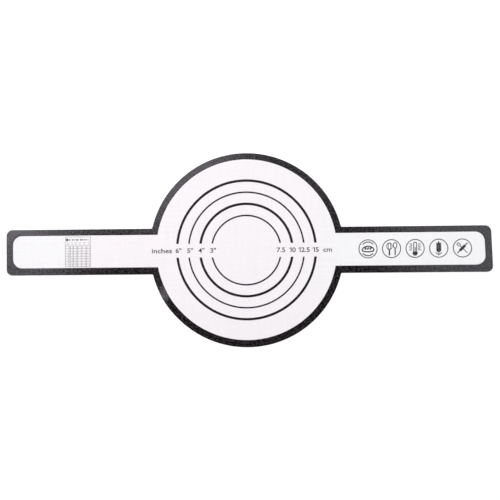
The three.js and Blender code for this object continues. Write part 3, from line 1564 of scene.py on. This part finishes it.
@dataclass
class Pen:
    """Draws lines of ink as films round a middle, from paths in millimetres."""

    blank: Blank
    x: float
    y: float
    width: float
    thickness: float = 0.04 * MM
    profile: InkProfile = FINE_LINE
    spot_start: float = 0.08
    grain_ends: Place = (0.02, 0.98)
    grain_steps: int = 19
    grain_lean: float = 0.8

    def stroke(self, path: Array, width: float | Array | None = None, closed: bool = False) -> Slab:
        """A line along a path: at each point the film reaches half a width to either side.

        Args:
            path: The points of its middle, in millimetres from the pen's middle.
            width: The line's width in millimetres, the same all along or one for each point.
            closed: Whether the path returns to its first point, which it doesn't repeat.

        Returns:
            The line's film.
        """
        if closed:
            tangent = np.roll(path, -1, axis=0) - np.roll(path, 1, axis=0)
        else:
            tangent = np.gradient(path, axis=0)
        tangent /= np.linalg.norm(tangent, axis=1)[:, None]
        normal = np.stack([-tangent[:, 1], tangent[:, 0]], axis=1)
        full = np.broadcast_to(self.width if width is None else width, (len(path),))
        share = np.array(self.profile.across)[None, :] - 0.5
        reach = full[:, None] * share
        x = self.x + MM * (path[:, :1] + normal[:, :1] * reach)
        y = self.y + MM * (path[:, 1:] + normal[:, 1:] * reach)
        return self.profile.film(self.blank, x, y, self.thickness, wraps=closed)

    def circle(self, radius: float, steps: int = 160) -> Slab:
        """A closed round line."""
        angle = np.linspace(0.0, FULL_TURN, steps, endpoint=False)
        return self.stroke(radius * circle_points(angle), closed=True)

    def line(self, start: Place, end: Place, width: float, steps: int = 12) -> Slab:
        """A straight line."""
        share = np.linspace(0.0, 1.0, steps)[:, None]
        return self.stroke(np.array(start) + (np.array(end) - np.array(start)) * share, width)

    def disc(self, centre: Place, radius: float, steps: int = 21) -> Slab:
        """A filled spot: a short line whose width is the chord of a circle.

        Args:
            centre: Its middle, in millimetres from the pen's middle.
            radius: Its radius in millimetres.
            steps: How many points its line has.

        Returns:
            The spot's film.
        """
        angle = np.linspace(self.spot_start, HALF_TURN - self.spot_start, steps)
        path = np.array(centre) + radius * rows(np.cos(angle), 0.0)
        return self.stroke(path, 2 * radius * np.sin(angle))

    def grain(self, base: Place, heading: float, length: float, width: float) -> Slab:
        """A filled leaf: its width follows half a sine wave, drawn a little towards its base.

        Args:
            base: Where it starts, in millimetres from the pen's middle.
            heading: The angle it points at.
            length: Its length in millimetres.
            width: Its greatest width in millimetres.

        Returns:
            The leaf's film.
        """
        share = np.linspace(*self.grain_ends, self.grain_steps)
        along = np.array([math.cos(heading), math.sin(heading)])
        path = np.array(base) + length * share[:, None] * along
        return self.stroke(path, width * np.sin(HALF_TURN * share**self.grain_lean))


def arc_path(centre: Place, radii: Place, start: float, end: float, steps: int) -> Array:
    """Points on an ellipse round a centre, from one angle to another."""
    return np.array(centre) + np.array(radii) * circle_points(np.linspace(start, end, steps))


def draw_loaf(pen: Pen) -> list[Slab]:
    """A round-topped loaf with three cuts, between two rows of dots.

    Args:
        pen: The pen at the middle of the sign.

    Returns:
        The lines and dots of the sign.
    """
    middle, half_width, rise, sag = (0.0, -1.6), 6.2, 4.4, 1.5
    crust_line, cut_line = 1.3, 1.7
    cut_places, cut_slant, cut_low, cut_high = (-2.7, 0.0, 2.7), 0.7, -0.8, 1.6
    dot_circle, dot_radius, dot_steps = 7.3, 0.7, 13
    row_spread, row_dots = 44, 9
    dome_steps, base_steps = 41, 31
    dot_row = np.radians(np.linspace(-row_spread, row_spread, row_dots))
    dome = arc_path(middle, (half_width, rise), 0.0, HALF_TURN, dome_steps)
    base = arc_path(middle, (half_width, sag), HALF_TURN, FULL_TURN, base_steps)
    crust = pen.stroke(np.concatenate([dome, base[1:-1]]), crust_line, closed=True)
    cuts = [pen.line((x - cut_slant, cut_low), (x + cut_slant, cut_high), cut_line) for x in cut_places]
    dots = [
        pen.disc((dot_circle * math.cos(angle), dot_circle * math.sin(angle)), dot_radius, dot_steps)
        for row_middle in (QUARTER_TURN, -QUARTER_TURN)
        for angle in row_middle + dot_row
    ]
    return [crust, *cuts, *dots]


def draw_whisk_and_spoon(pen: Pen) -> list[Slab]:
    """A balloon whisk on the left and a wooden spoon on the right.

    Args:
        pen: The pen at the middle of the sign.

    Returns:
        The lines of the sign.
    """
    whisk_x, wire_y, wire_rise, wire_spreads, wire_line = -2.3, 2.6, 3.6, (2.9, 1.35), 0.7
    wire_start, wire_end = -0.42 * HALF_TURN, 1.42 * HALF_TURN
    whisk_top, whisk_end, whisk_line = -0.9, -7.2, 1.6
    spoon_x, bowl_y, bowl_radii = 3.8, 3.5, (1.9, 3.0)
    spoon_top, spoon_end, spoon_line = 0.4, -7.0, 1.25
    wire_steps, bowl_steps = 49, 41
    loops = [
        arc_path((whisk_x, wire_y), (spread, wire_rise), wire_start, wire_end, wire_steps)
        for spread in wire_spreads
    ]
    wires = [pen.stroke(loop, wire_line) for loop in loops]
    whisk = pen.line((whisk_x, whisk_top), (whisk_x, whisk_end), whisk_line)
    rim = arc_path((spoon_x, bowl_y), bowl_radii, 0.0, FULL_TURN, bowl_steps)
    bowl = pen.stroke(rim[:-1], closed=True)
    spoon = pen.line((spoon_x, spoon_top), (spoon_x, spoon_end), spoon_line)
    return [*wires, whisk, bowl, spoon]


def draw_thermometer(pen: Pen) -> list[Slab]:
    """A thermometer with a filled bulb, a half-filled tube and plain ticks on both sides.

    Args:
        pen: The pen at the middle of the sign.

    Returns:
        The lines of the sign.
    """
    tube, tube_low, tube_high, cap_y = 1.5, -3.6, 4.6, 5.2
    bulb_y, bulb_radius, filled_radius = -5.0, 2.3, 1.8
    bulb_start, bulb_end = 0.27 * HALF_TURN, -1.27 * HALF_TURN
    column_low, column_high, column_line = -4.6, 1.4, 0.9
    tick_start, tick_line, tick_steps = 3.2, 0.85, 6
    tick_ends = {-1.6: 6.4, 0.0: 5.0, 1.6: 6.4, 3.2: 5.0, 4.8: 6.0}
    wall_steps, cap_steps, bulb_steps = 15, 17, 41
    wall = rows(-tube, np.linspace(tube_low, tube_high, wall_steps))
    cap = arc_path((0.0, cap_y), (tube, tube), HALF_TURN, 0.0, cap_steps)
    bulb = arc_path((0.0, bulb_y), (bulb_radius, bulb_radius), bulb_start, bulb_end, bulb_steps)
    outline = np.concatenate([wall, cap, wall[::-1] * np.array([-1.0, 1.0]), bulb[1:-1]])
    filled = pen.disc((0.0, bulb_y), filled_radius)
    column = pen.line((0.0, column_low), (0.0, column_high), column_line)
    ticks = [
        pen.line((side * tick_start, level), (side * tick_end, level), tick_line, tick_steps)
        for side in (-1.0, 1.0)
        for level, tick_end in tick_ends.items()
    ]
    return [pen.stroke(outline, closed=True), filled, column, *ticks]


def draw_wheat(pen: Pen) -> list[Slab]:
    """An ear of wheat: pairs of grains up a stem, one grain on top, and two leaves at the foot.

    Args:
        pen: The pen at the middle of the sign.

    Returns:
        The lines and grains of the sign.
    """
    stem_low, stem_high, stem_line = -7.8, 4.2, 0.7
    grain_x, grain_spread, grain_length, grain_width = 0.25, 0.62, 4.3, 1.9
    grain_levels = (-4.2, -1.9, 0.4, 2.7)
    leaf_level, leaf_spread, leaf_length, leaf_width = -7.0, 0.95, 4.6, 1.0
    top_level, top_length, top_width = 3.8, 4.4, 1.8
    sides = (-1.0, 1.0)
    stem = pen.line((0.0, stem_low), (0.0, stem_high), stem_line)
    grains = [
        pen.grain((side * grain_x, level), QUARTER_TURN - side * grain_spread, grain_length, grain_width)
        for side in sides
        for level in grain_levels
    ]
    leaves = [
        pen.grain((0.0, leaf_level), QUARTER_TURN - side * leaf_spread, leaf_length, leaf_width)
        for side in sides
    ]
    return [stem, *grains, *leaves, pen.grain((0.0, top_level), QUARTER_TURN, top_length, top_width)]


def draw_rolling_pin(pen: Pen) -> list[Slab]:
    """A rolling pin that lies across a thin spoon.

    The pin's width is that of the roller in the middle. Further out it is that of a handle, plus a bell
    curve at each knob.

    Args:
        pen: The pen at the middle of the sign.

    Returns:
        The lines of the pin and of the spoon.
    """
    slope = math.radians(45)
    pin_reach, roller_reach, roller_width = 7.6, 4.3, 2.9
    handle_width, knob_reach, knob_spread, knob_swell = 0.85, 6.7, 0.7, 0.85
    spoon_end, spoon_neck, spoon_line = -7.4, 3.4, 0.85
    bowl_reach, bowl_length, bowl_width = 5.4, 2.0, 1.35
    pin_steps, bowl_steps = 61, 33
    along = np.array([math.cos(slope), math.sin(slope)])
    across = along * np.array([-1.0, 1.0])
    reach = np.linspace(-pin_reach, pin_reach, pin_steps)
    knob = np.exp(-(((np.abs(reach) - knob_reach) / knob_spread) ** 2))
    width = np.where(np.abs(reach) < roller_reach, roller_width, handle_width + knob_swell * knob)
    spoon = pen.line(tuple(spoon_end * across), tuple(spoon_neck * across), spoon_line)
    turn = circle_points(np.linspace(0.0, FULL_TURN, bowl_steps)[:-1])
    bowl = bowl_reach * across + turn @ np.stack([bowl_length * across, bowl_width * along])
    return [pen.stroke(np.outer(reach, along), width), spoon, pen.stroke(bowl, spoon_line, closed=True)]


class Motif(Enum):
    """The small signs in the roundels, from the pad outwards."""

    LOAF = "loaf"
    WHISK = "whisk_and_spoon"
    THERMOMETER = "thermometer"
    WHEAT = "wheat_ear"
    ROLLING_PIN = "rolling_pin"


DRAWINGS: dict[Motif, Callable[[Pen], list[Slab]]] = {
    Motif.LOAF: draw_loaf,
    Motif.WHISK: draw_whisk_and_spoon,
    Motif.THERMOMETER: draw_thermometer,
    Motif.WHEAT: draw_wheat,
    Motif.ROLLING_PIN: draw_rolling_pin,
}


@dataclass
class Roundels:
    """Five round signs in a row along the right handle."""

    printer: Printer
    first_x: float = 130.8 * MM
    step: float = 25.1 * MM
    y: float = 0.8 * MM
    ring_radius: float = 9.65
    line_width: float = 0.95

    def build(self) -> None:
        """Prints each roundel on the stretch of the handle that carries it."""
        printer = self.printer
        handle = printer.laminate.handles[Side.RIGHT]
        for number, motif in enumerate(Motif):
            x = self.first_x + number * self.step
            pen = Pen(printer.blank, x, self.y, self.line_width)
            slabs = [pen.circle(self.ring_radius), *DRAWINGS[motif](pen)]
            mesh = make_mesh(f"roundel_{motif.value}", slabs)
            stretch = handle.strap if x < printer.blank.grip_fold else handle.grip
            printer.put(mesh, printer.palette.marks, stretch)


@dataclass
class KitchenChart:
    """A small ruled chart on the left handle: plain numbers from simple kitchen conversions."""

    printer: Printer
    lettering: Lettering
    x: float = -183.8 * MM
    y: float = 0.5 * MM
    height: float = 32.4
    header: float = 9.8
    rows: int = 8
    column_widths: tuple[float, ...] = (5.4, 3.4, 4.8, 4.6, 5.2, 4.2)
    rule: float = 0.42
    rule_steps: int = 81
    digit_height: float = 1.1 * MM
    digit_margin: float = 0.55
    heading_drop: float = 3.2
    heading_line: float = 1.15
    heading_spot: float = 1.35
    heading_spot_x: float = 1.9
    dash_steps: int = 9
    heading_dashes: tuple[Place, ...] = (
        (4.0, 5.4), (7.0, 8.9), (9.8, 10.7), (11.6, 14.2),
        (15.9, 19.2), (20.2, 22.0), (22.7, 23.6), (24.5, 25.4),
    )
    column_mark_drops: tuple[float, ...] = (6.3, 8.0)
    column_mark_span: Place = (0.25, 0.8)
    ounces_per_row: int = 2
    grams_per_ounce: float = 28.35
    millilitres_per_fluid_ounce: float = 29.57
    teaspoons_per_fluid_ounce: int = 6
    tablespoons_per_fluid_ounce: int = 2

    @property
    def edges(self) -> Array:
        """The places of the upright lines, in millimetres from the chart's middle."""
        steps = np.cumsum((0.0, *self.column_widths))
        return steps - steps[-1] / 2

    def numbers(self, row: int) -> list[str]:
        """One row: grams and ounces, then millilitres, fluid ounces, teaspoons and tablespoons.

        Args:
            row: The row's number, from 0 at the top.

        Returns:
            The text of each cell.
        """
        ounces = self.ounces_per_row * (row + 1)
        fluid_ounces = row + 1
        return [
            f"{ounces * self.grams_per_ounce:.0f}",
            str(ounces),
            f"{fluid_ounces * self.millilitres_per_fluid_ounce:.0f}",
            str(fluid_ounces),
            str(fluid_ounces * self.teaspoons_per_fluid_ounce),
            str(fluid_ounces * self.tablespoons_per_fluid_ounce),
        ]

    def ruling(self) -> list[Slab]:
        """The frame, the lines between rows and columns, and short dashes at the head of each column.

        Returns:
            The films of all lines.
        """
        pen = Pen(self.printer.blank, self.x, self.y, self.rule)
        left, right, top = self.edges[0], self.edges[-1], self.height / 2
        below = top - self.header
        levels = [top, *np.linspace(below, -top, self.rows + 1)]
        across = [pen.line((left, level), (right, level), self.rule, self.rule_steps) for level in levels]
        upright = [pen.line((x, -top), (x, below), self.rule) for x in self.edges]
        ends = [pen.line((x, below), (x, top), self.rule) for x in (left, right)]
        first, last = self.column_mark_span
        marks = [
            pen.line((x + first * width, top - drop), (x + last * width, top - drop), self.rule)
            for x, width in zip(self.edges, self.column_widths)
            for drop in self.column_mark_drops
        ]
        return [*across, *upright, *ends, *marks]

    def heading(self) -> list[Slab]:
        """A spot and a row of dashes that stand in for a title.

        Returns:
            The films of the spot and the dashes.
        """
        pen = Pen(self.printer.blank, self.x, self.y, self.heading_line)
        left, level = self.edges[0], self.height / 2 - self.heading_drop
        dashes = [
            pen.line((left + start, level), (left + end, level), self.heading_line, self.dash_steps)
            for start, end in self.heading_dashes
        ]
        return [pen.disc((left + self.heading_spot_x, level), self.heading_spot), *dashes]

    def labels(self) -> list[Label]:
        """The numbers, each at the right of its cell.

        Returns:
            A label for each cell.
        """
        cell_height = (self.height - self.header) / self.rows
        top = self.height / 2 - self.header
        return [
            Label(
                text,
                self.x + MM * (end - self.digit_margin),
                self.y + MM * (top - (row + 0.5) * cell_height),
                self.digit_height,
                align=Align.RIGHT,
            )
            for row in range(self.rows)
            for end, text in zip(self.edges[1:], self.numbers(row))
        ]

    def build(self) -> None:
        """Prints the ruling, the heading and the numbers on the left grip."""
        grip = self.printer.laminate.handles[Side.LEFT].grip
        palette = self.printer.palette
        inked = (
            (make_mesh("chart_ruling", self.ruling()), palette.chart),
            (make_mesh("chart_heading", self.heading()), palette.marks),
            (self.lettering.mesh("chart_numbers", self.labels()), palette.chart),
        )
        for mesh, ink in inked:
            self.printer.put(mesh, ink, grip)


@dataclass(frozen=True)
class SoftBox:
    """A lamp behind a diffuser, which looks straight down unless it has a target.

    Its turn about its own axis is in degrees. A lamp out of the gloss lights the sling but isn't
    mirrored in it.
    """

    name: str
    place: Point
    width: float
    depth: float
    brightness: float
    colour: Colour = (1.0, 1.0, 1.0)
    turn: float = 0.0
    target: Point | None = None
    in_gloss: bool = True

    def hang(self) -> None:
        """Hangs the lamp. Its power is pi times its area times its brightness."""
        lamp = bpy.data.lights.new(self.name, "AREA")
        lamp.shape = "RECTANGLE"
        lamp.size = self.width
        lamp.size_y = self.depth
        lamp.energy = math.pi * self.width * self.depth * self.brightness
        lamp.color = self.colour
        holder = bpy.data.objects.new(self.name, lamp)
        holder.location = self.place
        target = Vector(self.target or (*self.place[:2], 0.0))
        away = target - Vector(self.place)
        holder.rotation_euler = away.to_track_quat("-Z", "Y").to_euler()
        holder.rotation_euler.rotate_axis("Z", math.radians(self.turn))
        holder.visible_camera = False
        holder.visible_glossy = self.in_gloss
        bpy.context.scene.collection.objects.link(holder)


LAMP_HEIGHT = 1.2
FILL_HEIGHT = 1.3
FILL_AWAY = 2.2
MIDDLE = (0.0, 0.0, 0.0)
LILAC_LIGHT = (0.99, 0.97, 1.0)
COOL_LIGHT = (0.96, 0.98, 1.0)
ROSE_LIGHT = (1.0, 0.98, 0.99)
FILL_LAMP = partial(SoftBox, width=5.2, depth=2.4, colour=ROSE_LIGHT, target=MIDDLE, in_gloss=False)
STUDIO_LAMPS = (
    SoftBox(
        "left_box", (-0.747, 0.37, LAMP_HEIGHT), width=0.88, depth=0.71, brightness=3.6,
        colour=LILAC_LIGHT, turn=-32.0,
    ),
    SoftBox(
        "right_box", (0.73, 0.1, LAMP_HEIGHT), width=0.88, depth=1.1, brightness=1.7,
        colour=COOL_LIGHT, turn=38.0,
    ),
    SoftBox(
        "rear_left_box", (-0.212, 0.18, LAMP_HEIGHT), width=0.245, depth=0.38, brightness=2.8,
        colour=LILAC_LIGHT,
    ),
    SoftBox("rear_right_box", (0.08, 0.1, LAMP_HEIGHT), width=0.26, depth=0.2, brightness=0.35),
    FILL_LAMP("rear_fill", (0.0, FILL_AWAY, FILL_HEIGHT), brightness=1.53),
    FILL_LAMP("front_fill", (0.0, -FILL_AWAY, FILL_HEIGHT), brightness=0.76),
)


@dataclass
class Studio:
    """The table, the light and the camera, whose turns are in degrees."""

    camera_place: Point = (57.0 * MM, 56.5 * MM, 1050.0 * MM)
    camera_turn: tuple[float, float, float] = (-3.073, 2.858, -0.687)
    lens: float = 70.13
    table_half: float = 60.0
    table_gap: float = 0.15 * MM
    table_colour: Colour = (0.86, 0.86, 0.86)
    table_glow: tuple[float, float] = (0.3, 0.85)
    table_fade: tuple[float, float] = (0.7, 2.0)
    zenith: float = 0.07
    horizon: float = 0.8
    lamps: tuple[SoftBox, ...] = STUDIO_LAMPS

    def table_material(self) -> Material:
        """White that takes the sling's shadow, with a glow for rays that show the table.

        The glow is faint round the sling and grows with the distance from it, where the lamps fade.

        Returns:
            The material.
        """
        made = bpy.data.materials.new("white_table")
        made.use_nodes = True
        wiring = Wiring(made.node_tree)
        nodes = made.node_tree.nodes
        nodes.remove(nodes["Principled BSDF"])
        matt = wiring.node("ShaderNodeBsdfDiffuse", {"Color": (*self.table_colour, 1.0)})
        ray = wiring.node("ShaderNodeLightPath").outputs
        seen = wiring.math("MAXIMUM", ray["Is Camera Ray"], ray["Is Glossy Ray"])
        seen = wiring.math("MAXIMUM", seen, ray["Is Transmission Ray"])
        away = wiring.vector("LENGTH", wiring.node("ShaderNodeTexCoord").outputs["Object"])
        fade = wiring.between(wiring.ramp(away, *self.table_fade), *self.table_glow)
        glow = wiring.node("ShaderNodeEmission", {"Strength": wiring.math("MULTIPLY", seen, fade)})
        both = wiring.node("ShaderNodeAddShader", {0: matt.outputs[0], 1: glow.outputs[0]})
        wiring.give(nodes["Material Output"], {"Surface": both.outputs[0]})
        return made

    def lay_table(self) -> None:
        """Lays a wide flat table just under the sheet."""
        half = self.table_half
        corners = [(-half, -half), (half, -half), (half, half), (-half, half)]
        mesh = bpy.data.meshes.new("table")
        mesh.from_pydata([(x, y, -self.table_gap) for x, y in corners], [], [(0, 1, 2, 3)])
        mesh.materials.append(self.table_material())
        table = bpy.data.objects.new("table", mesh)
        bpy.context.scene.collection.objects.link(table)

    def light_room(self) -> None:
        """A plain room light that fades from the horizon to the zenith, by the square of 1 - height.

        The camera itself sees plain white beyond the table.
        """
        world = bpy.data.worlds.new("studio")
        world.use_nodes = True
        bpy.context.scene.world = world
        wiring = Wiring(world.node_tree)
        height = wiring.split(wiring.node("ShaderNodeTexCoord").outputs["Generated"])["Z"]
        low = wiring.math("SUBTRACT", 1.0, height, clamp=True)
        strength = wiring.between(wiring.math("POWER", low, 2.0), self.zenith, self.horizon)
        shown = wiring.node("ShaderNodeLightPath").outputs["Is Camera Ray"]
        plain = wiring.math("MAXIMUM", strength, shown)
        background = {"Color": (1.0, 1.0, 1.0, 1.0), "Strength": plain}
        wiring.give(world.node_tree.nodes["Background"], background)

    def set_camera(self) -> None:
        """Hangs the camera above the sling, a little to the right and to the rear of its middle."""
        camera = bpy.data.cameras.new("camera")
        camera.lens = self.lens
        camera.clip_end = 4 * self.table_half
        holder = bpy.data.objects.new("camera", camera)
        holder.location = self.camera_place
        holder.rotation_euler = [math.radians(angle) for angle in self.camera_turn]
        bpy.context.scene.collection.objects.link(holder)
        bpy.context.scene.camera = holder

    def build(self) -> None:
        """Sets up the table, the light and the camera."""
        bpy.context.scene.view_settings.view_transform = "Standard"
        self.lay_table()
        self.light_room()
        for lamp in self.lamps:
            lamp.hang()
        self.set_camera()


def main() -> None:
    """Builds the sheet and everything printed on it, then the studio."""
    logging.basicConfig(level=logging.INFO, format="%(name)s: %(message)s")
    blank = Blank.from_frame()
    mark = Print.from_frame(blank)
    through = PrintThrough(blank, mark, tuple(ring.radius for ring in RINGS), RINGS[0].gap)
    palette = Palette.mixed(through)
    laminate = Laminate(blank)
    laminate.build(palette)
    printer = Printer(laminate, palette)
    lettering = Lettering(blank)
    Border(printer, mark).build()
    MeasuringRings(printer, mark).build()
    SizeMarks(printer, mark, lettering).build()
    Roundels(printer).build()
    KitchenChart(printer, lettering).build()
    for stretch in laminate.stretches():
        stretch.declare(printer.on.get(stretch.name, []))
    Studio().build()


if __name__ == "__main__":
    main()
